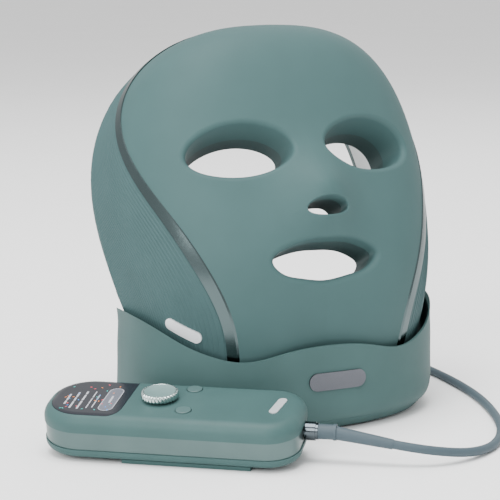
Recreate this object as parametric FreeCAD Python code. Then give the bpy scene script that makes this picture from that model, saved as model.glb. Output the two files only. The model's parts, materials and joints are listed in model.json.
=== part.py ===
import FreeCAD, Part
import math
import os

# LED face mask resting in a cradle stand, with a wired hand controller beside it.
# Millimetres, +Z up, the mask faces -Y, origin at the centre of the stand's underside.

V = FreeCAD.Vector

# ---- mask: a dome round a forward pole at the nose, in its own frame (front is -Y) ----
MASK_LEAN = 26.8              # degrees the face plane leans back
MASK_AT = V(0, 43.7, 71.9)    # where the dome's centre sits over the stand
HALF_WIDTH = 86.2
TOP_HEIGHT = 111.7
CHIN_HEIGHT = 102.6
DOME_DEPTH = 88.2
WIDTH_TILT = 0.152            # the outline is wider above the nose
WIDTH_CURVE = -0.031
RIM_POWER = (2.83, -0.10)     # squareness of the outline, and how it changes with height
PROFILE = (2.76, 2.67, 1.52)  # squareness of the depth profile: side, top, chin
PROFILE_DIAGONAL = -0.152
RIM_SWEEP = -10.5             # the rear edge comes forward at the ears
LEAN_BEND = (-18.6, -11.8)    # forward bend of the whole face towards top and chin
NOSE = (15.0, 17.0, 7.0, 19.0)   # height, half-width, centre and half-height of the nose swell
SHELL = 2.6                   # front shell thickness
BOARD_IN, BOARD_T = 14.8, 1.2
LENS_IN, LENS_T = 18.6, 1.8
CHIN_FLOOR = 12.0             # world height of the flat underside
TRIM_WIDTH = 4.2
TRIM_LINE = (-68.0, 22.3, 43.6, -43.2, -5.9)   # depth of the trim strip against height
EYE = (38.4, 36.8, 30.2, 16.0, 4.0)   # socket mouth: centre x, z, half-width, half-height, tilt
EYE_INNER = (33.0, 31.0, 21.0, 9.0)   # the same opening 56 mm further in
EYE_NEAR, EYE_FAR = -104.0, -48.0
EYE_EDGE, MOUTH_EDGE, NOSE_EDGE = 2.6, 3.0, 0.7   # rounding of the opening edges
NOSE_HOLE = (11.0, 4.4, -0.6)
CAP_RADIUS = 3.0
FAN_AT = V(77.6, -31.4, 20.0)
FAN_RADIUS = 14.6
CHEEK = (38.0, 4.0, 14.0, 8.0)
GLAND_X, GLAND_Z = 58.5, 24.0

# ---- stand ----
STAND_W = 85.0
STAND_FRONT, STAND_REAR = 64.2, 28.8
STAND_MID = 17.7
FRONT_POWER, REAR_POWER = 2.34, 3.9
STAND_WALL = 1.4
WIDEST = 13.4
FOOT_INSET = 8.4
RIM_INSET = 0.8
SEAM = 6.4
RIM_CURVE = [(0, 45.5), (24, 43.2), (44, 39.6), (58, 42.4), (70, 48.0), (79, 54.5), (88, 60.5)]
REAR_RIM = 27.0

# ---- controller ----
REMOTE_L, REMOTE_W, REMOTE_H = 126.0, 47.0, 21.5
REMOTE_AT = V(-97.0, -62.3, 1.576)
REMOTE_YAW, REMOTE_TILT = -37.6, 10.0
END_LEFT, END_RIGHT = 20.5, 16.0     # corner radii of the two ends
BAND_LOW, BAND_HIGH = 4.4, 13.2
CASE_T = 1.8
DIAL = (-7.0, 25.3, 9.0)      # position along, across and radius
BUTTONS = {"power_button": (6.8, 38.4), "back_button": (7.0, 14.2)}
BUTTON_R = 3.75
CORD_B, CORD_C = 25.5, 9.2    # where the cord leaves the right end
RUN = 0.3                     # clearance between moving pieces

# ---- cord ----
CORD_R = 2.2
COIL_AT = (80.0, 86.0)
COIL_MEAN_R, COIL_OUT_R, COIL_HEIGHT = 24.5, 31.5, 11.0

os.makedirs("parts", exist_ok=True)
parts = {}


# ---------------------------------------------------------------- helpers
def box(x0, x1, y0, y1, z0, z1):
    return Part.makeBox(x1 - x0, y1 - y0, z1 - z0, V(x0, y0, z0))


def cylinder(at, direction, radius, length):
    return Part.makeCylinder(radius, length, V(*at), V(*direction))


def closed_curve(points):
    curve = Part.BSplineCurve()
    curve.interpolate(points, PeriodicFlag=True)
    return Part.Wire([curve.toShape()])


def open_curve(points):
    curve = Part.BSplineCurve()
    curve.interpolate(points)
    return curve.toShape()


def polygon(points):
    return Part.makePolygon(points + [points[0]])


def prism(wire, vector):
    return Part.Face(wire).extrude(vector)


def mirror_x(shape):
    return shape.mirror(V(0, 0, 0), V(1, 0, 0))


def save(name, shape):
    shape = shape.removeSplitter() if len(shape.Solids) == 1 else shape
    parts[name] = shape
    shape.exportStep("parts/" + name + ".step")
    print("%-22s %2d solid  %9.1f mm3  valid %s" % (name, len(shape.Solids), shape.Volume, shape.isValid()))


# ---------------------------------------------------------------- mask surfaces
def blend_power(s, side, top, low):
    return side + ((top if s > 0 else low) - side) * s * s


def rim_at(angle, inset):
    s, c = math.sin(angle), math.cos(angle)
    m = RIM_POWER[0] + RIM_POWER[1] * s
    height = (TOP_HEIGHT if s > 0 else CHIN_HEIGHT) - inset
    width = (HALF_WIDTH - inset) * (1 + WIDTH_TILT * s + WIDTH_CURVE * s * s)
    radius = ((abs(c) / width) ** m + (abs(s) / height) ** m) ** (-1 / m)
    q = blend_power(s, *PROFILE) + 4 * PROFILE_DIAGONAL * s * s * c * c
    return radius, q, RIM_SWEEP * c * c


def face_bend(z):
    t = z / 100
    return LEAN_BEND[0] * t * t + LEAN_BEND[1] * t ** 3


def nose_swell(x, z):
    height, wide, mid, tall = NOSE
    return height * math.exp(-(x / wide) ** 2 - ((z - mid) / tall) ** 2)


def dome_point(angle, fraction, inset):
    radius, q, rim_y = rim_at(angle, inset)
    depth = DOME_DEPTH - inset
    c = max(fraction, CAP_RADIUS / radius)
    x, z = radius * c * math.cos(angle), radius * c * math.sin(angle)
    y = rim_y - (depth + rim_y) * (1 - c ** q) ** (1 / q)
    return V(x, y - nose_swell(x, z) + face_bend(z), z)


def spline_sheet(rows):
    """Cubic sheet with the given control points, clamped at its borders."""
    knots = [[float(i) for i in range(n - 2)] for n in (len(rows), len(rows[0]))]
    mults = [[4] + [1] * (len(k) - 2) + [4] for k in knots]
    sheet = Part.BSplineSurface()
    sheet.buildFromPolesMultsKnots(rows, mults[0], mults[1], knots[0], knots[1], False, False, 3, 3)
    return sheet.toShape()


def dome(inset=0.0):
    """Solid bounded by the mask surface moved inwards, and a flat back well behind its rim."""
    back = 60.0
    meridian = [6.0 * i for i in range(14)] + [82.5, 86.0, 88.2]
    steps = [math.cos(math.radians(d)) ** 0.76 for d in meridian]
    tip = dome_point(0, 0, inset).y
    rows = []
    for i in range(37):
        angle = math.radians(-90 + 5.0 * i)
        rim = dome_point(angle, 1.0, inset)
        row = [V(rim.x, y, rim.z) for y in (back, rim.y + 36, rim.y + 20, rim.y + 8)]
        row += [dome_point(angle, c, inset) for c in steps]
        row.append(V(CAP_RADIUS * math.cos(angle), tip, CAP_RADIUS * math.sin(angle)))
        rows.append(row)
    right = spline_sheet(rows)
    left = mirror_x(right)
    flat = []
    for y in (back, tip):
        ring = [e for f in (right, left) for e in f.Edges
                if abs(e.BoundBox.YMax - y) < 0.02 and abs(e.BoundBox.YMin - y) < 0.02]
        flat.append(Part.Face(Part.Wire(Part.__sortEdges__(ring))))
    shell = Part.makeShell([right, left] + flat)
    shell.sewShape()
    solid = Part.makeSolid(shell)
    return solid if solid.Volume > 0 else solid.reversed()


def to_world(shape):
    moved = shape.copy()
    moved.Placement = MASK_PLACE.multiply(moved.Placement)
    return moved


MASK_PLACE = FreeCAD.Placement(MASK_AT, FreeCAD.Rotation(V(1, 0, 0), -MASK_LEAN))


def rear_line(shift):
    """Side view of the mask's rear edge, from below the chin to above the crown."""
    points = []
    for i in range(-12, 13):
        angle = math.radians(7.5 * i)
        radius, q, rim_y = rim_at(angle, 0)
        z = radius * math.sin(angle)
        points.append(V(0, rim_y + face_bend(z) + shift, z))
    first, last = points[0], points[-1]
    return [V(0, first.y, first.z - 30)] + points + [V(0, last.y, last.z + 30)]


def ahead_of_rim(shift=0.0):
    """Everything in front of the rear edge line, moved back by shift."""
    line = rear_line(shift)
    edge = open_curve(line)
    far = -160.0
    rest = [Part.makeLine(line[-1], V(0, far, line[-1].z)),
            Part.makeLine(V(0, far, line[-1].z), V(0, far, line[0].z)),
            Part.makeLine(V(0, far, line[0].z), line[0])]
    face = Part.Face(Part.Wire(Part.__sortEdges__([edge] + rest)))
    face.translate(V(-130, 0, 0))
    return face.extrude(V(260, 0, 0))


def above(height):
    """Half space above a world height, in the mask's frame."""
    block = box(-200, 200, -300, 300, height, 500)
    block.Placement = MASK_PLACE.inverse().multiply(block.Placement)
    return block


def trim_share(z):
    """The trim narrows towards the chin, where the surface turns to the front."""
    t = min(1.0, max(0.0, (-5 - z) / 55))
    return 1 - 0.48 * t * t * (3 - 2 * t)


def trim_points(shift):
    """Trim line in side view moved sideways by shift along its own normal."""
    points = []
    for i in range(19):
        z = -88 + 11.1 * i
        t = z / 100
        y = sum(k * t ** n for n, k in enumerate(TRIM_LINE))
        slope = sum(n * k * t ** (n - 1) for n, k in enumerate(TRIM_LINE) if n) / 100
        size = math.hypot(1, slope)
        away = shift * trim_share(z)
        points.append(V(0, y + away / size, z - away * slope / size))
    return points


def ahead_of_trim(shift):
    line = trim_points(shift)
    far = -170.0
    rest = [Part.makeLine(line[-1], V(0, far, line[-1].z + 40)),
            Part.makeLine(V(0, far, line[-1].z + 40), V(0, far, line[0].z - 40)),
            Part.makeLine(V(0, far, line[0].z - 40), line[0])]
    face = Part.Face(Part.Wire(Part.__sortEdges__([open_curve(line)] + rest)))
    face.translate(V(-130, 0, 0))
    return face.extrude(V(260, 0, 0))


def ellipse_wire(cx, cz, a, b, tilt, y):
    major = V(math.cos(math.radians(tilt)), 0, math.sin(math.radians(tilt)))
    centre = V(cx, y, cz)
    edge = Part.Ellipse(centre + major * a, centre + major.cross(V(0, 1, 0)) * b, centre).toShape()
    return Part.Wire([edge])


def ellipse_prism(cx, cz, a, b, tilt=0.0, y0=-150, y1=90):
    return prism(ellipse_wire(cx, cz, a, b, tilt, y0), V(0, y1 - y0, 0))


def mouth_prism(grow=0.0, y0=-150, y1=90):
    half = [(0, -14.4), (13, -15.0), (23, -17.6), (28.4, -21.6), (25.2, -26.6), (14, -30.6), (0, -32.2)]
    cz = -23.0
    outline = half + [(-x, z) for x, z in half[-2:0:-1]]
    points = []
    for x, z in outline:
        points.append(V(x * (1 + grow / 28.0), y0, cz + (z - cz) * (1 + grow / 9.0)))
    return prism(closed_curve(points), V(0, y1 - y0, 0))



# ---------------------------------------------------------------- mask parts
def eye_socket(grow=0.0):
    """Tapered eye opening, right side, grown by a margin."""
    cx, cz, a, b, tilt = EYE
    ix, iz, ia, ib = EYE_INNER
    mouth = ellipse_wire(cx, cz, a + grow, b + grow, tilt, EYE_NEAR)
    inner = ellipse_wire(ix, iz, ia + grow, ib + grow, tilt, EYE_FAR)
    return Part.makeLoft([mouth, inner], True, True)


def nose_prism(grow=0.0):
    return ellipse_prism(0, NOSE_HOLE[2], NOSE_HOLE[0] + grow, NOSE_HOLE[1] + grow)


def openings(grow):
    socket = eye_socket(grow)
    return Part.Compound([socket, mirror_x(socket), nose_prism(grow), mouth_prism(grow)])


def slab(near, far, outline):
    """Curved plate between two insets, inside an outline prism."""
    return dome(near).cut(dome(far)).common(outline)


def layer(inset, thickness, floor):
    """Curved layer of the whole mask between two insets, ahead of the rear frame."""
    sheet = dome(inset).common(above(floor)).cut(dome(inset + thickness))
    return sheet.common(ahead_of_rim(-3.3))


def make_skin(proud=0.0):
    hollow = dome(SHELL).common(above(CHIN_FLOOR + SHELL))
    return dome(-proud).common(above(CHIN_FLOOR)).cut(hollow).common(ahead_of_rim())


def edges_inside(shape, x0, x1, z0, z1, front_y, least):
    found = []
    for edge in shape.Edges:
        b = edge.BoundBox
        if b.XMin > x0 and b.XMax < x1 and b.ZMin > z0 and b.ZMax < z1 and edge.Length > least:
            if b.YMin < front_y:
                found.append(edge)
    return found


def make_front(skin):
    front = skin.common(ahead_of_trim(-TRIM_WIDTH / 2))
    body = dome()
    socket = eye_socket(2.2).common(body).cut(dome(BOARD_IN - 0.5))
    mouth = mouth_prism(2.2).common(body).cut(dome(8.0))
    nose = nose_prism(2.0).common(body).cut(dome(8.0))
    front = front.fuse([socket, mirror_x(socket), mouth, nose])
    front = front.cut(openings(0.0)).removeSplitter()
    eyes = edges_inside(front, -66, 66, 12, 60, -92, 108)
    outer = [max((e for e in eyes if side * e.CenterOfMass.x > 0 and e.Length < 146),
                 key=lambda e: -e.BoundBox.YMin) for side in (1, -1)]
    front = front.makeFillet(EYE_EDGE, outer)
    mouth_edges = edges_inside(front, -30, 30, -33.5, -13.5, -88, 55)
    front = front.makeFillet(MOUTH_EDGE, mouth_edges)
    nose_edges = edges_inside(front, -11.6, 11.6, -5.5, 4.4, -96.4, 5)
    return front.makeFillet(NOSE_EDGE, nose_edges)


def half(shape, side):
    near, far = (0, 200) if side > 0 else (-200, 0)
    return shape.common(box(near, far, -300, 300, -300, 300))


def surface_frame(angle, fraction, inset=0.0):
    """Point, outward normal and direction round the face, on the mask surface."""
    point = dome_point(angle, fraction, inset)
    along = dome_point(angle + 0.02, fraction, inset) - point
    inward = dome_point(angle, fraction - 0.01, inset) - point
    normal = along.cross(inward).normalize()
    if normal.dot(V(point.x, point.y + 30, point.z)) < 0:
        normal = normal.negative()
    return point, normal, along.normalize()


def capsule_prism(centre, normal, along, length, width, depth):
    """Rounded bar cut out of space along a normal, centred on a point."""
    across = normal.cross(along).normalize()
    r = width / 2
    run = length / 2 - r
    start = centre - normal * depth

    def at(a, b):
        return start + along * a + across * b
    edges = [Part.makeLine(at(-run, -r), at(run, -r)),
             Part.Arc(at(run, -r), at(run + r, 0), at(run, r)).toShape(),
             Part.makeLine(at(run, r), at(-run, r)),
             Part.Arc(at(-run, r), at(-run - r, 0), at(-run, -r)).toShape()]
    return prism(Part.Wire(edges), normal * (2 * depth))


def fan_body(side):
    at = FAN_AT
    ring = cylinder((at.x - 2.6, at.y, at.z), (1, 0, 0), FAN_RADIUS + 1.6, 5.2)
    ring = ring.cut(cylinder((at.x - 2.6, at.y, at.z), (1, 0, 0), FAN_RADIUS + 0.4, 5.2))
    spider = cylinder((at.x - 2.6, at.y, at.z), (1, 0, 0), 4.0, 0.8)
    for turn in range(3):
        arm = box(at.x - 2.6, at.x - 1.8, at.y - 1, at.y + 1, at.z, at.z + FAN_RADIUS + 1)
        arm.rotate(at, V(1, 0, 0), 120 * turn)
        spider = spider.fuse(arm)
    post = cylinder((at.x - 1.8, at.y, at.z), (1, 0, 0), 1.5, 3.6)
    body = ring.fuse([spider, post])
    return body if side > 0 else mirror_x(body)


def fan_rotor(side):
    at = FAN_AT
    hub = cylinder((at.x - 1.3, at.y, at.z), (1, 0, 0), 4.6, 3.6)
    for turn in range(7):
        blade = box(at.x - 1.0, at.x + 2.0, at.y - 0.5, at.y + 0.5, at.z + 3, at.z + FAN_RADIUS - 0.6)
        blade.rotate(V(at.x + 0.5, at.y, at.z), V(0, 0, 1), 24)
        blade.rotate(at, V(1, 0, 0), 360 / 7 * turn)
        hub = hub.fuse(blade)
    hub = hub.cut(cylinder((at.x - 2, at.y, at.z), (1, 0, 0), 1.55, 4.0))
    return hub if side > 0 else mirror_x(hub)


def screw(at, direction, radius, head, length):
    """Pan head screw with its head's outer face at the point, running along direction."""
    shank = cylinder(at, direction, radius, length)
    cap = cylinder(at, direction, head, 1.2)
    return shank.fuse(cap)


def frame_screws():
    shapes = []
    for degrees in (12, 62, 118, 168, -18, -162):
        angle = math.radians(degrees)
        radius, _, rim_y = rim_at(angle, 6.0)
        z = radius * math.sin(angle)
        y = rim_y + face_bend(z)
        shapes.append(screw((radius * math.cos(angle), y - 0.2, z), (0, -1, 0), 1.0, 2.0, 3.4))
    return shapes


def make_leds():
    """Small domes on the board's inner face, spread by rings round the nose."""
    leds = []
    for ring in range(5):
        fraction = (0.42, 0.56, 0.70, 0.83, 0.93)[ring]
        count = 14 + 4 * ring
        for i in range(count):
            angle = 2 * math.pi * (i + 0.5 * (ring % 2)) / count
            point, normal, _ = surface_frame(angle, fraction, BOARD_IN + BOARD_T)
            clear = True
            ex, ez = EYE[0] - 2.5, EYE[1] - 2
            if ((abs(point.x) - ex) / 34) ** 2 + ((point.z - ez) / 23) ** 2 < 1:
                clear = False
            if (point.x / 33) ** 2 + ((point.z + 23) / 17) ** 2 < 1:
                clear = False
            if ((abs(point.x) - CHEEK[0]) / 19) ** 2 + ((point.z - CHEEK[1]) / 13) ** 2 < 1:
                clear = False
            if (MASK_PLACE.multVec(point)).z < CHIN_FLOOR + 9 or point.y > -16:
                clear = False
            if clear:
                leds.append(Part.makeCylinder(1.7, 1.7, point - normal * 1.8, normal))
    board = dome(BOARD_IN + BOARD_T)
    return Part.Compound([led.common(board) for led in leds])


def cheek_prism(side, grow=0.0):
    cx, cz, a, b = CHEEK
    return ellipse_prism(side * cx, cz, a + grow, b + grow, -side * 8.0)


def heat_sink(side):
    block = slab(4.4, 12.0, cheek_prism(side, -1.0))
    for i in range(-2, 3):
        x = side * CHEEK[0] + 4.6 * i
        slot = dome(3.0).cut(dome(9.0)).common(box(x - 1.1, x + 1.1, -150, 50, -20, 30))
        block = block.cut(slot)
    return block


def gland_point():
    """Where the cord enters the mask's rear frame, in world coordinates."""
    return V(GLAND_X, 10.0, GLAND_Z)


def make_mask():
    skin = make_skin()
    front = make_front(skin)
    save("front_shell", to_world(front))
    behind = skin.cut(ahead_of_trim(TRIM_WIDTH / 2))
    raised = make_skin(0.5).common(ahead_of_trim(TRIM_WIDTH / 2)).cut(ahead_of_trim(-TRIM_WIDTH / 2))
    for side, word in ((-1, "left"), (1, "right")):
        save("side_panel_" + word, to_world(half(behind, side)))
        save("trim_" + word, to_world(half(raised, side)))

    holes = openings(2.6)
    cheeks = Part.Compound([cheek_prism(1, 0.4), cheek_prism(-1, 0.4)])
    floor = CHIN_FLOOR + SHELL + 0.3
    board = layer(BOARD_IN, BOARD_T, floor + 2).cut(holes).cut(cheeks)
    save("led_board", to_world(board))
    save("leds", to_world(make_leds()))
    save("inner_lens", to_world(layer(LENS_IN, LENS_T, floor).cut(holes).cut(cheeks)))
    lens_back = LENS_IN + LENS_T

    cup = eye_socket(2.2).cut(eye_socket(0.1))
    cup = cup.common(dome(BOARD_IN - 0.4)).cut(dome(lens_back + 1.4))
    for side, word in ((-1, "left"), (1, "right")):
        save("eye_cup_" + word, to_world(cup if side > 0 else mirror_x(cup)))
        save("cheek_plate_" + word, to_world(slab(lens_back - 0.4, lens_back + 1.0, cheek_prism(side))))
        save("cooler_" + word, to_world(slab(12.1, lens_back - 0.5, cheek_prism(side, -1.5))))
        save("heat_sink_" + word, to_world(heat_sink(side)))
        save("fan_body_" + word, to_world(fan_body(side)))
        save("fan_rotor_" + word, to_world(fan_rotor(side)))
    inner = (8.3, lens_back + 1.4)
    save("nose_ring", to_world(slab(*inner, nose_prism(2.0).cut(nose_prism(0.05)))))
    save("mouth_ring", to_world(slab(*inner, mouth_prism(2.0).cut(mouth_prism(0.05)))))

    at = gland_point()
    entry = cylinder((at.x, at.y, at.z), (0, 1, 0), 4.6, 5.0).fuse(
        cylinder((at.x, at.y + 5, at.z), (0, 1, 0), 4.0, 30.0))
    rim = dome(SHELL + 0.2).common(above(floor)).cut(dome(lens_back))
    rim = rim.common(ahead_of_rim()).cut(ahead_of_rim(-3.0))
    screws = frame_screws()
    save("rear_frame", to_world(rim.cut(Part.Compound(screws))).cut(entry))
    save("mask_screws", to_world(Part.Compound(screws)))
    seal = dome(9.5).common(above(floor)).cut(dome(17.5)).common(ahead_of_rim(3.2)).cut(ahead_of_rim(0.0))
    save("face_seal", to_world(seal).cut(entry))
    save("forehead_pad", to_world(slab(lens_back + 0.1, lens_back + 5, box(-26, 26, -150, -30, 54, 74))))
    save("driver_board", to_world(slab(6.0, 7.6, box(-24, 24, -150, 0, 60, 86))))

    point, normal, along = surface_frame(3.719, 0.912)
    slope = V(12.7, -10.1, -13.7)
    slope = (slope - normal * slope.dot(normal)).normalize()
    badge = capsule_prism(point, normal, slope, 21.0, 6.0, 6.0)
    save("mask_badge", to_world(dome(-0.9).cut(dome(-0.02)).common(badge)))

    gland = cylinder((at.x, at.y, at.z), (0, 1, 0), 4.6, 5.0).fuse(
        Part.makeCone(3.8, 2.9, 8.0, V(at.x, at.y + 5, at.z), V(0, 1, 0)))
    gland = gland.cut(cylinder((at.x, at.y + 8, at.z), (0, 1, 0), CORD_R + 0.4, 6.0))
    save("mask_gland", gland)


# ---------------------------------------------------------------- stand
def stand_inset(z):
    """How far the wall stands in from its widest outline at a height."""
    if z < WIDEST:
        return FOOT_INSET * ((WIDEST - z) / WIDEST) ** 1.7
    return RIM_INSET * (z - WIDEST) / 46.0


def stand_ring(inset, z):
    """Outline of the stand, a soft-cornered oval with a flatter back, as two joined curves."""
    halves = []
    for sign, depth, power in ((-1, STAND_FRONT, FRONT_POWER), (1, STAND_REAR, REAR_POWER)):
        points = []
        for i in range(25):
            angle = math.radians(7.5 * i)
            c, s = math.cos(angle), math.sin(angle)
            r = (abs(c) ** power + s ** power) ** (-1 / power)
            y = STAND_MID + sign * (depth - inset) * r * s
            points.append(V(-sign * (STAND_W - inset) * r * c, y, z))
        halves.append(open_curve(points))
    return Part.Wire(halves)


def stand_solid(inset, z0, z1, steps=7):
    levels = [z0 + (z1 - z0) * (i / steps) ** 1.5 for i in range(steps + 1)]
    return Part.makeLoft([stand_ring(inset + stand_inset(z), z) for z in levels], True, False)


def rim_cutter():
    """Everything above the wavy rim, and the low rear wall with its cord slot."""
    curve = [V(-x, -70, z) for x, z in reversed(RIM_CURVE[1:])] + [V(x, -70, z) for x, z in RIM_CURVE]
    top = 90.0
    edges = [open_curve(curve), Part.makeLine(curve[-1], V(88, -70, top)),
             Part.makeLine(V(88, -70, top), V(-88, -70, top)), Part.makeLine(V(-88, -70, top), curve[0])]
    sky = prism(Part.Wire(Part.__sortEdges__(edges)), V(0, 140, 0))
    rear = box(-66, 66, 22, 70, REAR_RIM, top)
    rear = rear.makeFillet(9.0, [e for e in rear.Edges
                                 if abs(e.BoundBox.ZMax - REAR_RIM) < 0.01 and e.BoundBox.YLength > 40])
    slot = box(GLAND_X - 5, GLAND_X + 5, 34, 70, 14, 40)
    slot = slot.fuse(cylinder((GLAND_X, 34, 14), (0, 1, 0), 5.0, 36.0))
    return sky.fuse([rear, slot])


def stand_screw_shapes(z0, length, radius, head, head_h):
    shapes = []
    for x, y in ((-52, -12), (52, -12), (-60, 30), (60, 30)):
        shapes.append(cylinder((x, y, z0), (0, 0, 1), radius, length).fuse(
            cylinder((x, y, z0), (0, 0, 1), head, head_h)))
    return shapes


def make_stand():
    wall = stand_solid(0, SEAM, 66).cut(stand_solid(STAND_WALL, SEAM + 2.2, 67))
    wall = wall.cut(rim_cutter())
    screws = stand_screw_shapes(1.9, 6.0, 1.3, 2.6, 1.6)
    wall = wall.cut(Part.Compound(screws))
    save("stand_shell", wall)
    foot = stand_solid(0.5, 1.4, SEAM - 0.3).cut(stand_solid(3.5, 2.8, SEAM))
    save("stand_foot", foot.cut(Part.Compound(screws)))
    save("ballast_plate", stand_solid(5.5, 2.9, 5.6).cut(Part.Compound(screws)))
    save("base_pad", stand_solid(2.5, 0.0, 1.3, 2))
    save("stand_screws", Part.Compound(screws))
    for side, word in ((-1, "left"), (1, "right")):
        x = 34.0 * side
        pad = box(x - 14, x + 14, -24, -4, SEAM + 2.2, CHIN_FLOOR - RUN)
        pad = pad.makeFillet(3.0, [e for e in pad.Edges if e.BoundBox.ZLength > 2])
        save("chin_pad_" + word, pad)
    tablet = capsule_prism(V(4, -46, 27.5), V(0, -1, 0), V(1, 0, 0), 32.0, 9.0, 9.0)
    badge = stand_solid(-0.8, SEAM, 60).cut(stand_solid(-0.01, SEAM, 60)).common(tablet)
    save("stand_badge", badge)


# ---------------------------------------------------------------- controller
REMOTE_PLACE = FreeCAD.Placement(
    REMOTE_AT, FreeCAD.Rotation(V(0, 0, 1), REMOTE_YAW).multiply(FreeCAD.Rotation(V(1, 0, 0), REMOTE_TILT)))


def to_table(shape):
    moved = shape.copy()
    moved.Placement = REMOTE_PLACE.multiply(moved.Placement)
    return moved


def rounded(inset, c, height):
    """Controller outline with a rounder left end, as a straight block."""
    a0, a1 = -REMOTE_L / 2 + inset, REMOTE_L / 2 - inset
    b0, b1 = inset, REMOTE_W - inset
    left, right = END_LEFT - inset, END_RIGHT - inset
    k = math.sqrt(0.5)
    edges = [Part.makeLine(V(a0 + left, b0, c), V(a1 - right, b0, c))]
    for x, y, r, sx, sy in ((a1 - right, b0 + right, right, 1, -1), (a1 - right, b1 - right, right, 1, 1),
                            (a0 + left, b1 - left, left, -1, 1), (a0 + left, b0 + left, left, -1, -1)):
        ends = [V(x, y + sy * r, c), V(x + sx * r, y, c)]
        edges.append(Part.Arc(ends[0], V(x + sx * r * k, y + sy * r * k, c), ends[1]).toShape())
    edges += [Part.makeLine(V(a1, b0 + right, c), V(a1, b1 - right, c)),
              Part.makeLine(V(a1 - right, b1, c), V(a0 + left, b1, c)),
              Part.makeLine(V(a0, b1 - left, c), V(a0, b0 + left, c))]
    return prism(Part.Wire(Part.__sortEdges__(edges)), V(0, 0, height))


def pillow(inset, low, high, radius, top=True):
    block = rounded(inset, low, high - low)
    level = high if top else low
    edges = [e for e in block.Edges if abs(e.BoundBox.ZMin - level) < 0.01 and e.BoundBox.ZLength < 0.01]
    return block.makeFillet(radius, edges)


def display_prism(grow=0.0):
    """Lens-shaped window at the left end with a slanting right edge, rounded at its near corner."""
    shape = rounded(4.0 - grow, -1.0, 40.0)
    cut = Part.makePolygon([V(-21.0 + grow, 60, -2), V(-22.5 + grow, 12, -2), V(-27 + grow, -10, -2),
                            V(60, -10, -2), V(60, 60, -2), V(-21.0 + grow, 60, -2)])
    shape = shape.cut(prism(cut, V(0, 0, 50)))
    near = [e for e in shape.Edges
            if e.BoundBox.ZLength > 30 and e.BoundBox.XMin > -32 and e.BoundBox.YMax < 8]
    return shape.makeFillet(6.0, near) if near else shape


def make_case():
    top = pillow(0, BAND_HIGH, REMOTE_H, 6.5)
    inner = pillow(CASE_T, BAND_HIGH, REMOTE_H - CASE_T, 4.8)
    glass_back = pillow(0.9, BAND_HIGH, REMOTE_H - 0.9, 5.7)
    window = display_prism()
    shell = top.cut(inner).cut(window)
    dial_a, dial_b, dial_r = DIAL
    shell = shell.cut(cylinder((dial_a, dial_b, 10), (0, 0, 1), 3.6, 20))
    for a, b in BUTTONS.values():
        shell = shell.cut(cylinder((a, b, 10), (0, 0, 1), BUTTON_R + RUN, 20))
    save("remote_top_case", to_table(shell))
    pane = display_prism(-0.2)
    save("display_glass", to_table(top.cut(glass_back).common(pane)))
    save("display_panel", to_table(glass_back.cut(inner).common(display_prism(-0.6))))

    bottom = pillow(0, 0, BAND_LOW, 3.2, False).cut(rounded(CASE_T, CASE_T, BAND_LOW))
    screws = [screw((a, b, 0.0), (0, 0, 1), 1.0, 2.0, 5.0)
              for a, b in ((-50, 10), (-50, 37), (52, 10), (52, 37))]
    save("remote_bottom_case", to_table(bottom.cut(Part.Compound(screws))))
    save("remote_screws", to_table(Part.Compound(screws)))
    band = rounded(0.5, BAND_LOW, BAND_HIGH - BAND_LOW).cut(rounded(2.2, BAND_LOW, BAND_HIGH - BAND_LOW))
    socket = box(15.5, 24.5, 40, 60, 7.0, 10.2)
    band = band.cut(socket).cut(cylinder((50, CORD_B, CORD_C), (1, 0, 0), 3.3, 20))
    save("remote_band", to_table(band))
    shield = box(15.7, 24.3, 38.0, REMOTE_W - 0.7, 7.2, 10.0)
    save("charging_socket", to_table(shield.cut(box(16.1, 23.9, 39.0, 60, 7.6, 9.6))))

    floor_slope = math.tan(math.radians(REMOTE_TILT))
    lift = REMOTE_AT.z / math.cos(math.radians(REMOTE_TILT))
    blade = [(2.0, 0.0), (12.0, 0.0), (12.0, -lift - 12 * floor_slope + 2.2),
             (42.0, -lift - 42 * floor_slope + 2.2), (42.0, -lift - 42 * floor_slope),
             (2.0, -lift - 2 * floor_slope)]
    clip = prism(polygon([V(-21, b, c) for b, c in blade]), V(62, 0, 0))
    save("belt_clip", to_table(clip))


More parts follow.
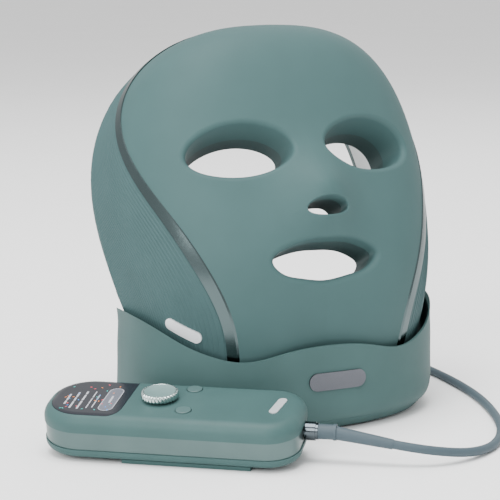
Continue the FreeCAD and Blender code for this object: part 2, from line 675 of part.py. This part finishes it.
def make_controls():
    a, b, r = DIAL
    top = REMOTE_H
    knob = cylinder((a, b, top + 0.9), (0, 0, 1), r, 3.6)
    upper = [e for e in knob.Edges if abs(e.BoundBox.ZMin - top - 4.5) < 0.01 and e.Length > 20]
    knob = knob.makeChamfer(0.5, upper)
    knob = knob.cut(cylinder((a, b, top + 3.3), (0, 0, 1), r - 1.5, 2.0))
    shaft = cylinder((a, b, 13.8), (0, 0, 1), 2.0, top + 0.9 - 13.8)
    save("dial_knob", to_table(knob.fuse(shaft)))
    cap = cylinder((a, b, top + 3.3), (0, 0, 1), r - 1.5, 1.1)
    dish = Part.makeSphere(60.0, V(a, b, top + 4.4 + 59.5))
    save("dial_cap", to_table(cap.cut(dish)))
    plunger = cylinder((a, b, 14.0), (0, 0, 1), 3.3, 5.2).cut(cylinder((a, b, 13.0), (0, 0, 1), 2.05, 8.0))
    save("encoder_plunger", to_table(plunger))
    body = box(a - 6, a + 6, b - 6, b + 6, 12.7, 17.6)
    save("encoder_body", to_table(body.cut(cylinder((a, b, 12.9), (0, 0, 1), 3.36, 9.0))))
    switches = []
    for name, (x, y) in BUTTONS.items():
        button = cylinder((x, y, 17.2), (0, 0, 1), BUTTON_R, top + 0.5 - 17.2)
        rim = [e for e in button.Edges if abs(e.BoundBox.ZMin - top - 0.5) < 0.01 and e.Length > 15]
        button = button.makeFillet(0.45, rim)
        flange = cylinder((x, y, 17.2), (0, 0, 1), BUTTON_R + 0.9, 1.0)
        if name == "power_button":
            flange = flange.common(box(x - 9, x + 9, y - 9, y + 3.9, 0, 40))
        save(name, to_table(button.fuse(flange)))
        switches.append(box(x - 3, x + 3, y - 3, y + 3, 12.7, 16.3))
    save("tact_switches", to_table(Part.Compound(switches)))
    save("remote_board", to_table(rounded(5.0, 11.5, 1.2)))
    save("battery_cell", to_table(box(-34, 18, 8, 36, 2.2, 8.0)))
    tilt = V(0.16, 0.987, 0).normalize()
    across = capsule_prism(V(50.5, 24.5, REMOTE_H), V(0, 0, 1), tilt, 17.0, 4.2, 3.0)
    save("remote_badge", to_table(across.common(box(30, 70, 0, 60, REMOTE_H + 0.01, REMOTE_H + 0.4))))


def boot_axis():
    """Direction of the flexible boot: along the controller, dropping towards the table."""
    drop = math.radians(9.0)
    return V(math.cos(drop), 0, -math.sin(drop))


def make_cord_exit():
    end = REMOTE_L / 2
    collar = cylinder((end - 2.5, CORD_B, CORD_C), (1, 0, 0), 3.2, 2.5)
    collar = collar.fuse(cylinder((end + 0.05, CORD_B, CORD_C), (1, 0, 0), 4.5, 5.15))
    collar = collar.fuse(cylinder((end + 5.2, CORD_B, CORD_C), (1, 0, 0), 4.0, 1.2))
    collar = collar.cut(cylinder((end - 3, CORD_B, CORD_C), (1, 0, 0), 2.5, 6.0))
    save("cord_collar", to_table(collar))
    start = V(end + 6.4, CORD_B, CORD_C)
    sleeve = cylinder((start.x, start.y, start.z), (1, 0, 0), 3.6, 8.0)
    ridge = cylinder((start.x + 7.2, start.y, start.z), (1, 0, 0), 3.9, 1.4)
    base = start + V(6.5, 0, 0)
    boot = Part.makeCone(3.3, CORD_R + 0.25, 29.0, base, boot_axis())
    relief = sleeve.fuse([ridge, boot])
    tip = base + boot_axis() * 29.0
    relief = relief.cut(Part.makeCylinder(CORD_R + 0.02, 8.0, tip - boot_axis() * 7.0, boot_axis()))
    save("strain_relief", to_table(relief))
    return REMOTE_PLACE.multVec(tip), REMOTE_PLACE.Rotation.multVec(boot_axis())


# ---------------------------------------------------------------- cord
def route_tube(points, radius):
    """Round tube along straight runs joined by tangent arcs, as large as the runs allow."""
    pieces = []
    last = points[0]
    tightest = 1e9
    for before, here, after in zip(points, points[1:], points[2:]):
        inward, outward = (here - before), (after - here)
        turn = inward.getAngle(outward)
        bend = 0.45 * min(inward.Length, outward.Length) / math.tan(turn / 2)
        reach = bend * math.tan(turn / 2)
        u, w = V(inward).normalize(), V(outward).normalize()
        start, end = here - u * reach, here + w * reach
        middle = here + (w - u).normalize() * (bend / math.cos(turn / 2) - bend)
        pieces += [Part.makeLine(last, start), Part.Arc(start, middle, end).toShape()]
        last = end
        tightest = min(tightest, bend)
        print("   turn %5.1f deg, radius %6.1f mm" % (math.degrees(turn), bend))
    pieces.append(Part.makeLine(last, points[-1]))
    path = Part.Wire(pieces)
    length = path.Length
    direction = points[1] - points[0]
    section = Part.Wire([Part.makeCircle(radius, points[0], direction)])
    tube = path.makePipeShell([section], True, False)
    print("   length %.1f, tightest %.1f, volume ratio %.4f"
          % (length, tightest, tube.Volume / (math.pi * radius ** 2 * length)))
    return tube


def make_cord(tip, heading):
    near = tip - heading * 6.0
    x, y = COIL_AT
    low = CORD_R + 0.1
    lead = [near, tip + heading * 6.0, V(20.5, -116, 7), V(37.5, -115.2, 4), V(54, -107.8, low),
            V(67.5, -96, low), V(78.5, -81, low), V(87.2, -65, low), V(96.7, -42, low), V(103.8, -18, low),
            V(108.5, 8, low), V(111, 36, low), V(111, 64, low), V(109.1, 89, low)]
    print("lead")
    save("cord_lead", route_tube(lead, CORD_R))
    print("tail")
    high = COIL_HEIGHT - CORD_R - 0.2
    tail = [V(51.7, 78.4, high), V(55.4, 66, 9.6), V(57.6, 52.5, 14), V(58.4, 42, 19.3),
            V(GLAND_X + 0.1, 32.5, 23), V(GLAND_X, 23.4, GLAND_Z)]
    save("cord_tail", route_tube(tail, CORD_R))
    coil = Part.makeCylinder(COIL_OUT_R, COIL_HEIGHT, V(x, y, 0.0))
    coil = coil.cut(Part.makeCylinder(2 * COIL_MEAN_R - COIL_OUT_R, COIL_HEIGHT, V(x, y, 0.0)))
    save("cord_coil", coil)


make_mask()
make_stand()
make_case()
make_controls()
tip, heading = make_cord_exit()
print("boot tip", tip, heading)
make_cord(tip, heading)
print(len(parts), "nodes")
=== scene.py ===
import json
import math
import random
import bpy
from mathutils import Matrix, Vector
from mathutils.bvhtree import BVHTree


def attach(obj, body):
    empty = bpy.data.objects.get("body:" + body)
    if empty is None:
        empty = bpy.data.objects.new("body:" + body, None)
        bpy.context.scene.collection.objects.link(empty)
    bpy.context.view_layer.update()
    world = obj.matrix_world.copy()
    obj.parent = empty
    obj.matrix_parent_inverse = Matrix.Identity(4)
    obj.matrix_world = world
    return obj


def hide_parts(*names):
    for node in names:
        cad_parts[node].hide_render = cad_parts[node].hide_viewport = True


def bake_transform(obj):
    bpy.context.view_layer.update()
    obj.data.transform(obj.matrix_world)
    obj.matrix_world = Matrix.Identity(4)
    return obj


# LED face mask in its cradle stand with a wired hand controller. Metres, the mask faces -Y.

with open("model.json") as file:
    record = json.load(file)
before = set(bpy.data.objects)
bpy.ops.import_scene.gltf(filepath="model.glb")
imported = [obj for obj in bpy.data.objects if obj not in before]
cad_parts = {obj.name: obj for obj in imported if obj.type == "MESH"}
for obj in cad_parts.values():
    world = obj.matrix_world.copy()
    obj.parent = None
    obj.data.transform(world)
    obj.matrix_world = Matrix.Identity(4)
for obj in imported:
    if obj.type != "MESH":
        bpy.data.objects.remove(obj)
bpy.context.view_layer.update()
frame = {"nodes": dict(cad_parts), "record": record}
nodes = frame["nodes"]
record = frame["record"]
MM = 0.001
random.seed(7)


# ---------------------------------------------------------------- camera
CAMERA_AT = (-0.3975, -0.7851, 0.2379)
CAMERA_AIM = (-0.00238, 0.0420, 0.07997)
CAMERA_LENS = 124.8


def add_camera():
    data = bpy.data.cameras.new("camera")
    data.lens = CAMERA_LENS
    data.sensor_width = 36.0
    data.clip_end = 20.0
    camera = bpy.data.objects.new("camera", data)
    camera.location = CAMERA_AT
    aim = Vector(CAMERA_AIM) - camera.location
    camera.rotation_euler = aim.to_track_quat("-Z", "Y").to_euler()
    bpy.context.collection.objects.link(camera)
    bpy.context.scene.camera = camera


# ---------------------------------------------------------------- helpers
def linear(red, green, blue):
    """Screen colour, 0 to 255, as linear light."""
    return tuple(((v / 255 + 0.055) / 1.055) ** 2.4 for v in (red, green, blue))


def add_mesh(name, verts, faces, smooth=True):
    mesh = bpy.data.meshes.new(name)
    mesh.from_pydata([tuple(v) for v in verts], [], faces)
    mesh.validate()
    mesh.polygons.foreach_set("use_smooth", [smooth] * len(mesh.polygons))
    mesh.update()
    piece = bpy.data.objects.new(name, mesh)
    bpy.context.collection.objects.link(piece)
    return piece


def paint(piece, material):
    piece.data.materials.clear()
    piece.data.materials.append(material)


def body_of(node):
    for body, members in record["behaviour"]["bodies"].items():
        if node in members:
            return body
    return None


def slot_of(node):
    return next(s["material_slot"] for s in record["subparts"] if s["node"] == node)


def joint(name):
    return next(j for j in record["behaviour"]["joints"] if j["name"] == name)


def placed(turn, joint_name, local):
    """Frame with a given turn, in which a joint's point has the given place in millimetres."""
    at = Vector(joint(joint_name)["pos_m"])
    return Matrix.Translation(at - turn @ (Vector(local) * MM)) @ turn.to_4x4()


def rotation(degrees, axis):
    return Matrix.Rotation(math.radians(degrees), 3, axis)


# Frames of the mask and of the controller, each held by one joint point in its own millimetres.
FAN_AT = (77.6, -31.4, 20.0)
DIAL_AT = (-7.0, 25.3, 20.0)
MASK = placed(rotation(-26.8, "X"), "fan_right_spin", FAN_AT)
REMOTE = placed(rotation(-37.6, "Z") @ rotation(10, "X"), "dial_spin", DIAL_AT)


# ---------------------------------------------------------------- materials
def finish_material(name, colour, rough, metallic=0.0, spread=0.05, patch=55.0, grain=2600.0,
                    relief=0.012, rough_spread=0.05, coat=0.0, brushed=None, **sockets):
    """Procedural finish: broad colour drift, fine grain relief and uneven gloss."""
    made = bpy.data.materials.new(name)
    made.use_nodes = True
    tree = made.node_tree
    shader = tree.nodes["Principled BSDF"]
    place = tree.nodes.new("ShaderNodeTexCoord")
    where = place.outputs["Object"]
    if brushed:
        stretch = tree.nodes.new("ShaderNodeMapping")
        stretch.inputs["Scale"].default_value = brushed
        tree.links.new(where, stretch.inputs["Vector"])
        fine_where = stretch.outputs["Vector"]
    else:
        fine_where = where

    def noise(scale, detail, source):
        node = tree.nodes.new("ShaderNodeTexNoise")
        node.inputs["Scale"].default_value = scale
        node.inputs["Detail"].default_value = detail
        tree.links.new(source, node.inputs["Vector"])
        return node.outputs["Fac"]

    drift = noise(patch, 4.0, where)
    ramp = tree.nodes.new("ShaderNodeValToRGB")
    ramp.color_ramp.elements[0].position = 0.3
    ramp.color_ramp.elements[1].position = 0.7
    ramp.color_ramp.elements[0].color = tuple(c * (1 - spread) for c in colour) + (1,)
    ramp.color_ramp.elements[1].color = tuple(min(1, c * (1 + spread)) for c in colour) + (1,)
    tree.links.new(drift, ramp.inputs["Fac"])
    tree.links.new(ramp.outputs["Color"], shader.inputs["Base Color"])

    fine = noise(grain, 2.0, fine_where)
    gloss = tree.nodes.new("ShaderNodeMapRange")
    gloss.inputs["From Min"].default_value = 0.3
    gloss.inputs["From Max"].default_value = 0.7
    gloss.inputs["To Min"].default_value = max(0.02, rough - rough_spread)
    gloss.inputs["To Max"].default_value = min(1.0, rough + rough_spread)
    tree.links.new(fine, gloss.inputs["Value"])
    tree.links.new(gloss.outputs["Result"], shader.inputs["Roughness"])
    bump = tree.nodes.new("ShaderNodeBump")
    bump.inputs["Strength"].default_value = 0.35
    bump.inputs["Distance"].default_value = relief * MM
    tree.links.new(fine, bump.inputs["Height"])
    tree.links.new(bump.outputs["Normal"], shader.inputs["Normal"])
    shader.inputs["Metallic"].default_value = metallic
    if coat:
        shader.inputs["Coat Weight"].default_value = coat
        shader.inputs["Coat Roughness"].default_value = 0.08
    for socket, value in sockets.items():
        shader.inputs[socket.replace("_", " ")].default_value = value
    return made


def make_materials():
    sage = linear(62, 88, 88)
    return {
        "mask_shell": finish_material("mask_shell", sage, 0.62, relief=0.022, spread=0.03,
                                      Specular_IOR_Level=0.18),
        "side_panel": finish_material("side_panel", linear(58, 83, 84), 0.58, relief=0.03,
                                      Specular_IOR_Level=0.2),
        "trim": finish_material("trim", linear(80, 93, 94), 0.22, 1.0, brushed=(1, 8, 1), relief=0.01),
        "inner_lens": finish_material("inner_lens", (0.80, 0.82, 0.82), 0.35, Transmission_Weight=0.35),
        "circuit_board": finish_material("circuit_board", (0.02, 0.12, 0.05), 0.45, grain=900.0),
        "led": finish_material("led", (0.90, 0.84, 0.55), 0.20, coat=0.6),
        "silicone": finish_material("silicone", linear(45, 66, 66), 0.66, relief=0.03, patch=90.0),
        "cheek_metal": finish_material("cheek_metal", (0.72, 0.73, 0.74), 0.32, 1.0, brushed=(1, 14, 14)),
        "heat_metal": finish_material("heat_metal", (0.55, 0.56, 0.57), 0.42, 1.0, brushed=(1, 10, 1)),
        "fan_plastic": finish_material("fan_plastic", (0.015, 0.015, 0.016), 0.42),
        "rear_plastic": finish_material("rear_plastic", linear(53, 76, 76), 0.55, relief=0.03),
        "screw_steel": finish_material("screw_steel", (0.5, 0.5, 0.51), 0.34, 1.0, brushed=(6, 6, 1)),
        "badge_metal": finish_material("badge_metal", (0.11, 0.115, 0.13), 0.30, 1.0, brushed=(1, 12, 12)),
        "bright_badge": finish_material("bright_badge", (0.78, 0.80, 0.82), 0.42, 0.6, brushed=(1, 12, 12)),
        "gland_rubber": finish_material("gland_rubber", linear(56, 72, 76), 0.66, relief=0.04),
        "stand_shell": finish_material("stand_shell", linear(62, 88, 87), 0.56, relief=0.028,
                                       Specular_IOR_Level=0.2),
        "pad_rubber": finish_material("pad_rubber", (0.02, 0.026, 0.026), 0.8, relief=0.05),
        "ballast_steel": finish_material("ballast_steel", (0.03, 0.03, 0.032), 0.5, grain=1500.0),
        "remote_case": finish_material("remote_case", linear(59, 86, 85), 0.5, relief=0.028,
                                       Specular_IOR_Level=0.2),
        "remote_band": finish_material("remote_band", linear(88, 106, 105), 0.34, 1.0, brushed=(2, 2, 30)),
        "display_glass": finish_material("display_glass", linear(30, 33, 40), 0.16, relief=0.001,
                                         Specular_IOR_Level=0.35),
        "display_panel": finish_material("display_panel", (0.012, 0.013, 0.018), 0.3),
        "socket_metal": finish_material("socket_metal", (0.55, 0.55, 0.56), 0.3, 1.0, brushed=(1, 9, 1)),
        "dial_metal": finish_material("dial_metal", linear(196, 210, 208), 0.17, 1.0, relief=0.004),
        "dial_cap": finish_material("dial_cap", linear(150, 180, 178), 0.40, 0.7, brushed=(12, 12, 1)),
        "switch_plastic": finish_material("switch_plastic", (0.02, 0.02, 0.022), 0.45),
        "button_plastic": finish_material("button_plastic", linear(64, 91, 90), 0.45, relief=0.02),
        "battery_wrap": finish_material("battery_wrap", (0.02, 0.06, 0.22), 0.3),
        "collar_metal": finish_material("collar_metal", (0.075, 0.09, 0.10), 0.12, 1.0, brushed=(1, 5, 5)),
        "boot_rubber": finish_material("boot_rubber", linear(58, 74, 82), 0.62, relief=0.03),
        "cord_jacket": finish_material("cord_jacket", linear(58, 74, 82), 0.64, relief=0.03),
        "print_white": finish_material("print_white", (0.42, 0.43, 0.47), 0.35, spread=0.02),
        "print_grey": finish_material("print_grey", (0.11, 0.12, 0.15), 0.3, spread=0.04),
        "print_red": finish_material("print_red", (0.75, 0.06, 0.10), 0.35, spread=0.08),
        "print_blue": finish_material("print_blue", (0.03, 0.25, 0.72), 0.35, spread=0.08),
        "print_orange": finish_material("print_orange", (0.80, 0.22, 0.05), 0.35, spread=0.08),
        "print_teal": finish_material("print_teal", (0.02, 0.42, 0.38), 0.35, spread=0.08),
    }


def paint_nodes():
    for sub in record["subparts"]:
        piece = nodes[sub["node"]]
        for place in piece.material_slots:
            place.link = "OBJECT"
            place.material = materials[sub["material_slot"]]
    for name in ("remote_badge", "mask_badge"):
        for place in nodes[name].material_slots:
            place.material = materials["bright_badge"]


# ---------------------------------------------------------------- cord
CORD_R = 0.0022
# Points in millimetres. The lead runs from the boot over the table to the coil, and its first
# two points lie 6 mm either side of the boot's tip. The tail climbs from the coil to the gland.
LEAD = [(-4.138, -103.345, 11.521), (5.451, -110.318, 9.672), (20.5, -116, 7), (37.5, -115.2, 4),
        (54, -107.8, 2.3), (67.5, -96, 2.3), (78.5, -81, 2.3), (87.2, -65, 2.3), (96.7, -42, 2.3),
        (103.8, -18, 2.3), (108.5, 8, 2.3), (111, 36, 2.3), (111, 64, 2.3), (109.1, 89, 2.3)]
TAIL = [(51.7, 78.4, 8.4), (55.4, 66, 9.6), (57.6, 52.5, 14), (58.4, 42, 19.3), (58.6, 32.5, 23),
        (58.5, 23.4, 24), (58.5, 20.0, 24)]
COIL = (80.0, 86.0, 29.3)   # centre and outermost radius of a turn
COIL_SWEEP = 360 * 5 + 189.0   # degrees
COIL_START = 6
COIL_POINTS = 88
COIL_LOW, COIL_RISE = 2.3, 4.7
TURN_PITCH = 4.5


def coil_points():
    """Two layers of turns, winding inwards on the table and back outwards on top."""
    x, y, outer = COIL
    whole = COIL_SWEEP / 360
    points = []
    for k in range(1, COIL_POINTS):
        turn = whole * k / COIL_POINTS
        angle = math.radians(COIL_START + 360 * turn)
        radius = (outer - TURN_PITCH * min(turn, whole - turn)) / math.cos(math.pi / 16)
        climb = min(1.0, max(0.0, (turn - whole / 2) / 0.5 + 0.5))
        climb = climb * climb * (3 - 2 * climb)
        height = COIL_LOW + COIL_RISE * climb
        points.append((x + radius * math.cos(angle), y + radius * math.sin(angle), height))
    return points


def evaluated_mesh(piece, name):
    depsgraph = bpy.context.evaluated_depsgraph_get()
    mesh = bpy.data.meshes.new_from_object(piece.evaluated_get(depsgraph))
    mesh.name = name
    return mesh


def add_cord():
    route = [Vector(p) * MM for p in LEAD + coil_points() + TAIL]
    curve = bpy.data.curves.new("cord_route", "CURVE")
    curve.dimensions = "3D"
    curve.resolution_u = 5
    spline = curve.splines.new("NURBS")
    spline.points.add(len(route) - 1)
    for point, at in zip(spline.points, route):
        point.co = (*at, 1.0)
    spline.order_u = 3
    spline.use_endpoint_u = True
    guide = bpy.data.objects.new("cord_route", curve)
    bpy.context.collection.objects.link(guide)
    bpy.context.view_layer.update()
    path = [tuple(v.co) for v in evaluated_mesh(guide, "cord_path").vertices]
    curve.bevel_depth = CORD_R
    curve.bevel_resolution = 4
    curve.use_fill_caps = True
    bpy.context.view_layer.update()
    mesh = evaluated_mesh(guide, "cord")
    mesh.polygons.foreach_set("use_smooth", [True] * len(mesh.polygons))
    bpy.data.objects.remove(guide)
    cord = bpy.data.objects.new("cord", mesh)
    bpy.context.collection.objects.link(cord)
    paint(cord, materials["cord_jacket"])
    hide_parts("cord_lead", "cord_coil", "cord_tail")
    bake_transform(cord)


# ---------------------------------------------------------------- mask details
TRIM_LINE = (-68.0, 22.3, 43.6, -43.2, -5.9)   # depth of the trim as a polynomial in height / 100 mm
TRIM_HALF = 2.1
TRIM_TAPER = 0.48
RIB_COUNT = 48
RIB_PITCH = 1.6
RIB_GAP = 0.9           # from the trim's edge to the first rib
RIB_FADE = 4            # steps over which a rib rises at its ends
SHORTEST_RIB = 12
LOWEST_RIB = 0.0126     # metres above the table
RIB_PROFILE = ((-0.62, -0.08), (-0.34, 0.22), (0.0, 0.30), (0.34, 0.22), (0.62, -0.08))


def trim_depth(z):
    t = z / 100
    y = sum(k * t ** n for n, k in enumerate(TRIM_LINE))
    slope = sum(n * k * t ** (n - 1) for n, k in enumerate(TRIM_LINE) if n) / 100
    return y, math.hypot(1, slope)


def trim_half(z):
    """Half width of the trim, which narrows towards the chin."""
    t = min(1.0, max(0.0, (-5 - z) / 55))
    return TRIM_HALF * (1 - TRIM_TAPER * t * t * (3 - 2 * t))


def surface_tree(node):
    back = MASK.inverted()
    mesh = nodes[node].data
    verts = [back @ v.co for v in mesh.vertices]
    return BVHTree.FromPolygons(verts, [tuple(p.vertices) for p in mesh.polygons])


def rib_lines(tree, side):
    """Lines on the panel at even distances behind the trim, each a list of points, outward normals."""
    lines = []
    for k in range(RIB_COUNT):
        behind = RIB_GAP + RIB_PITCH * k
        line = []
        for i in range(-178, 179):
            angle = math.radians(i / 2)
            out = Vector((side * math.cos(angle), 0, math.sin(angle)))
            z = 100 * math.sin(angle)
            hit = None
            for _ in range(5):
                y, size = trim_depth(max(-105, min(112, z)))
                start = out * 0.2 + Vector((0, (y + (trim_half(z) + behind) * size) * MM, 0))
                hit, normal, _, _ = tree.ray_cast(start, -out)
                if hit is None:
                    break
                z = hit.z / MM
            good = hit is not None and normal.dot(out) > 0.35 and (MASK @ hit).z > LOWEST_RIB
            if good:
                line.append((hit.copy(), normal.copy()))
            else:
                if len(line) > SHORTEST_RIB:
                    lines.append(line)
                line = []
        if len(line) > SHORTEST_RIB:
            lines.append(line)
    return lines


def smoothed(values, passes):
    for _ in range(passes):
        inner = [(a + 2 * b + c) / 4 for a, b, c in zip(values, values[1:], values[2:])]
        values = [values[0]] + inner + [values[-1]]
    return values


def add_ribs(side, word):
    tree = surface_tree("side_panel_" + word)
    verts = []
    faces = []
    across_count = len(RIB_PROFILE)
    for line in rib_lines(tree, side):
        points = smoothed([p for p, _ in line], 6)
        normals = smoothed([n for _, n in line], 8)
        last = len(points) - 1
        base = len(verts)
        for i, (point, normal) in enumerate(zip(points, normals)):
            along = (points[min(i + 1, last)] - points[max(i - 1, 0)]).normalized()
            normal = normal.normalized()
            across = normal.cross(along).normalized()
            fade = min(1.0, i / RIB_FADE, (last - i) / RIB_FADE)
            for s, h in RIB_PROFILE:
                height = h if h < 0 else h * fade - 0.06 * (1 - fade)
                verts.append(MASK @ (point + across * s * MM + normal * height * MM))
        for i in range(last):
            for j in range(across_count - 1):
                a = base + i * across_count + j
                faces.append((a, a + 1, a + across_count + 1, a + across_count))
    ribs = add_mesh("panel_ribs_" + word, verts, faces)
    paint(ribs, materials["side_panel"])
    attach(ribs, "mask")


def soft_copy(node, name, voxel, passes):
    """Moulded soft piece in place of a plain one, with its edges eased by remeshing and smoothing."""
    mesh = nodes[node].data.copy()
    piece = bpy.data.objects.new(name, mesh)
    bpy.context.collection.objects.link(piece)
    remesh = piece.modifiers.new("remesh", "REMESH")
    remesh.mode = "VOXEL"
    remesh.voxel_size = voxel
    ease = piece.modifiers.new("ease", "SMOOTH")
    ease.factor = 0.5
    ease.iterations = passes
    bpy.context.view_layer.update()
    piece.data = evaluated_mesh(piece, name)
    piece.modifiers.clear()
    piece.data.polygons.foreach_set("use_smooth", [True] * len(piece.data.polygons))
    slot = slot_of(node)
    paint(piece, materials[slot])
    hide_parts(node)
    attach(piece, body_of(node))


# ---------------------------------------------------------------- controller details
TOP = 21.5          # upper face of the case, in its own millimetres
DIAL_SIDES = 432
DIAL_RIDGES = 30
RIDGE_DEPTH = 0.75
RIDGE_TWIST = 1.35
SPECK_COUNT = 34
# Radius and height of the dial's rim, from the hole up the side and down into the dish.
DIAL_PROFILE = ((2.2, 0.9), (7.9, 0.9), (8.5, 1.0), (8.85, 1.3), (9.0, 1.7), (9.0, 2.3), (9.0, 2.9),
                (9.0, 3.5), (8.88, 3.95), (8.6, 4.25), (8.25, 4.4), (7.85, 4.45), (7.55, 4.4), (7.5, 4.2),
                (7.5, 3.35), (2.2, 3.35))


def on_case(a, b, c):
    return REMOTE @ (Vector((a, b, c)) * MM)


def add_dial():
    """Bright dial rim whose side is twisted like rope, standing in for the plain one."""
    spin = joint("dial_spin")
    axis = Vector(spin["axis"]).normalized()
    centre = Vector(spin["pos_m"])
    turn = REMOTE.to_3x3()
    verts = []
    faces = []
    for r, h in DIAL_PROFILE:
        weight = max(0.0, min(1.0, r - 7.7)) if h < 4.44 else 0.0   # how deep the ridges cut here
        for i in range(DIAL_SIDES):
            angle = 2 * math.pi * i / DIAL_SIDES
            wave = math.cos(DIAL_RIDGES * angle + (h - 0.9) * RIDGE_TWIST)
            radius = r - weight * RIDGE_DEPTH * (0.5 - 0.5 * wave) ** 0.8
            local = Vector((radius * math.cos(angle), radius * math.sin(angle), 0)) * MM
            verts.append(centre + turn @ local + axis * (TOP - DIAL_AT[2] + h) * MM)
    for row in range(len(DIAL_PROFILE) - 1):
        low = row * DIAL_SIDES
        high = low + DIAL_SIDES
        for i in range(DIAL_SIDES):
            j = (i + 1) % DIAL_SIDES
            faces.append((low + i, low + j, high + j, high + i))
    rim = add_mesh("dial_rim", verts, faces)
    paint(rim, materials["dial_metal"])
    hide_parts("dial_knob")
    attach(rim, "dial")


def strip(a0, b0, a1, b1, width, level):
    """Rounded bar on the display between two points, as points round it."""
    start, end = Vector((a0, b0)), Vector((a1, b1))
    along = (end - start).normalized()
    across = Vector((-along.y, along.x))
    ring = []
    for i in range(9):
        angle = math.pi * (0.5 + i / 8)
        ring.append(start + along * math.cos(angle) * width / 2 + across * math.sin(angle) * width / 2)
    for i in range(9):
        angle = math.pi * (-0.5 + i / 8)
        ring.append(end + along * math.cos(angle) * width / 2 + across * math.sin(angle) * width / 2)
    return [on_case(p.x, p.y, level) for p in ring]


def add_print(name, rings, material):
    verts = []
    faces = []
    for ring in rings:
        base = len(verts)
        verts += ring
        faces.append(tuple(range(base, base + len(ring))))
    piece = add_mesh(name, verts, faces, smooth=False)
    paint(piece, materials[material])
    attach(piece, body_of("display_panel"))


def add_screen():
    """Generic picture on the display: bars for words, an outlined button and coloured specks."""
    level = TOP + 0.03
    words = []
    for a, runs in ((-51.5, ((14.5, 17.5), (19, 25))), (-47.8, ((10.5, 17), (18.5, 21.5), (23, 27.5))),
                    (-44.0, ((10, 18), (19.5, 25), (26.5, 29)))):
        words += [strip(a, b0, a, b1, 0.95, level) for b0, b1 in runs]
    for a, runs in ((-39.8, ((11, 15), (16, 22), (23.2, 29.5))), (-37.2, ((12, 19.5), (20.8, 26)))):
        words += [strip(a, b0, a, b1, 0.6, level) for b0, b1 in runs]
    words.append(strip(-30.4, 18.4, -30.4, 25.2, 1.0, level + 0.02))
    add_print("screen_words", words, "print_white")
    add_print("screen_button", [strip(-30.6, 12.6, -30.2, 31.0, 7.2, level)], "print_grey")
    outline = []
    outer = strip(-30.6, 12.6, -30.2, 31.0, 7.2, level + 0.01)
    inner = strip(-30.6, 12.6, -30.2, 31.0, 6.5, level + 0.01)
    for i in range(len(outer)):
        j = (i + 1) % len(outer)
        outline.append([outer[i], outer[j], inner[j], inner[i]])
    add_print("screen_outline", outline, "print_white")
    colours = ("print_red", "print_blue", "print_orange", "print_teal")
    specks = {c: [] for c in colours}
    for i in range(SPECK_COUNT):
        a = random.uniform(-54, -25.5)
        b = random.uniform(7.5, 38)
        tilt = random.uniform(0, math.pi)
        end = (a + 0.55 * math.cos(tilt), b + 0.55 * math.sin(tilt))
        specks[colours[i % 4]].append(strip(a, b, *end, 0.55, level + 0.015 + 0.001 * (i % 5)))
    for colour in colours:
        add_print("specks_" + colour.split("_")[1], specks[colour], colour)


# ---------------------------------------------------------------- stage
def add_stage():
    corners = [(-40, -40, 0), (40, -40, 0), (40, 40, 0), (-40, 40, 0)]
    floor = add_mesh("floor", corners, [(0, 1, 2, 3)], smooth=False)
    pale = finish_material("floor_pale", (0.95, 0.95, 0.95), 0.8, spread=0.01, patch=3.0, grain=60.0)
    paint(floor, pale)
    for name, at, size, power, aim in (
            ("key", (-1.5, -1.1, 1.1), 1.1, 33.0, (0, 0, 0.1)),
            ("rim", (1.0, 0.9, 1.1), 0.9, 4.0, (0, 0, 0.1)),
            ("top", (-0.3, -0.1, 1.9), 1.3, 56.0, (0, 0, 0.1))):
        data = bpy.data.lights.new(name, "AREA")
        data.shape = "SQUARE"
        data.size = size
        data.energy = power
        lamp = bpy.data.objects.new(name, data)
        lamp.location = at
        lamp.rotation_euler = (Vector(aim) - Vector(at)).to_track_quat("-Z", "Y").to_euler()
        bpy.context.collection.objects.link(lamp)
    world = bpy.data.worlds.new("studio")
    world.use_nodes = True
    back = world.node_tree.nodes["Background"]
    back.inputs["Color"].default_value = (1, 1, 1, 1)
    back.inputs["Strength"].default_value = 1.05
    bpy.context.scene.world = world


materials = make_materials()
add_camera()
add_cord()
paint_nodes()
add_ribs(1, "right")
add_ribs(-1, "left")
soft_copy("forehead_pad", "brow_cushion", 0.0008, 10)
soft_copy("face_seal", "seal_lip", 0.0010, 4)
soft_copy("chin_pad_left", "chin_rest_left", 0.0005, 8)
soft_copy("chin_pad_right", "chin_rest_right", 0.0005, 8)
add_dial()
add_screen()
add_stage()
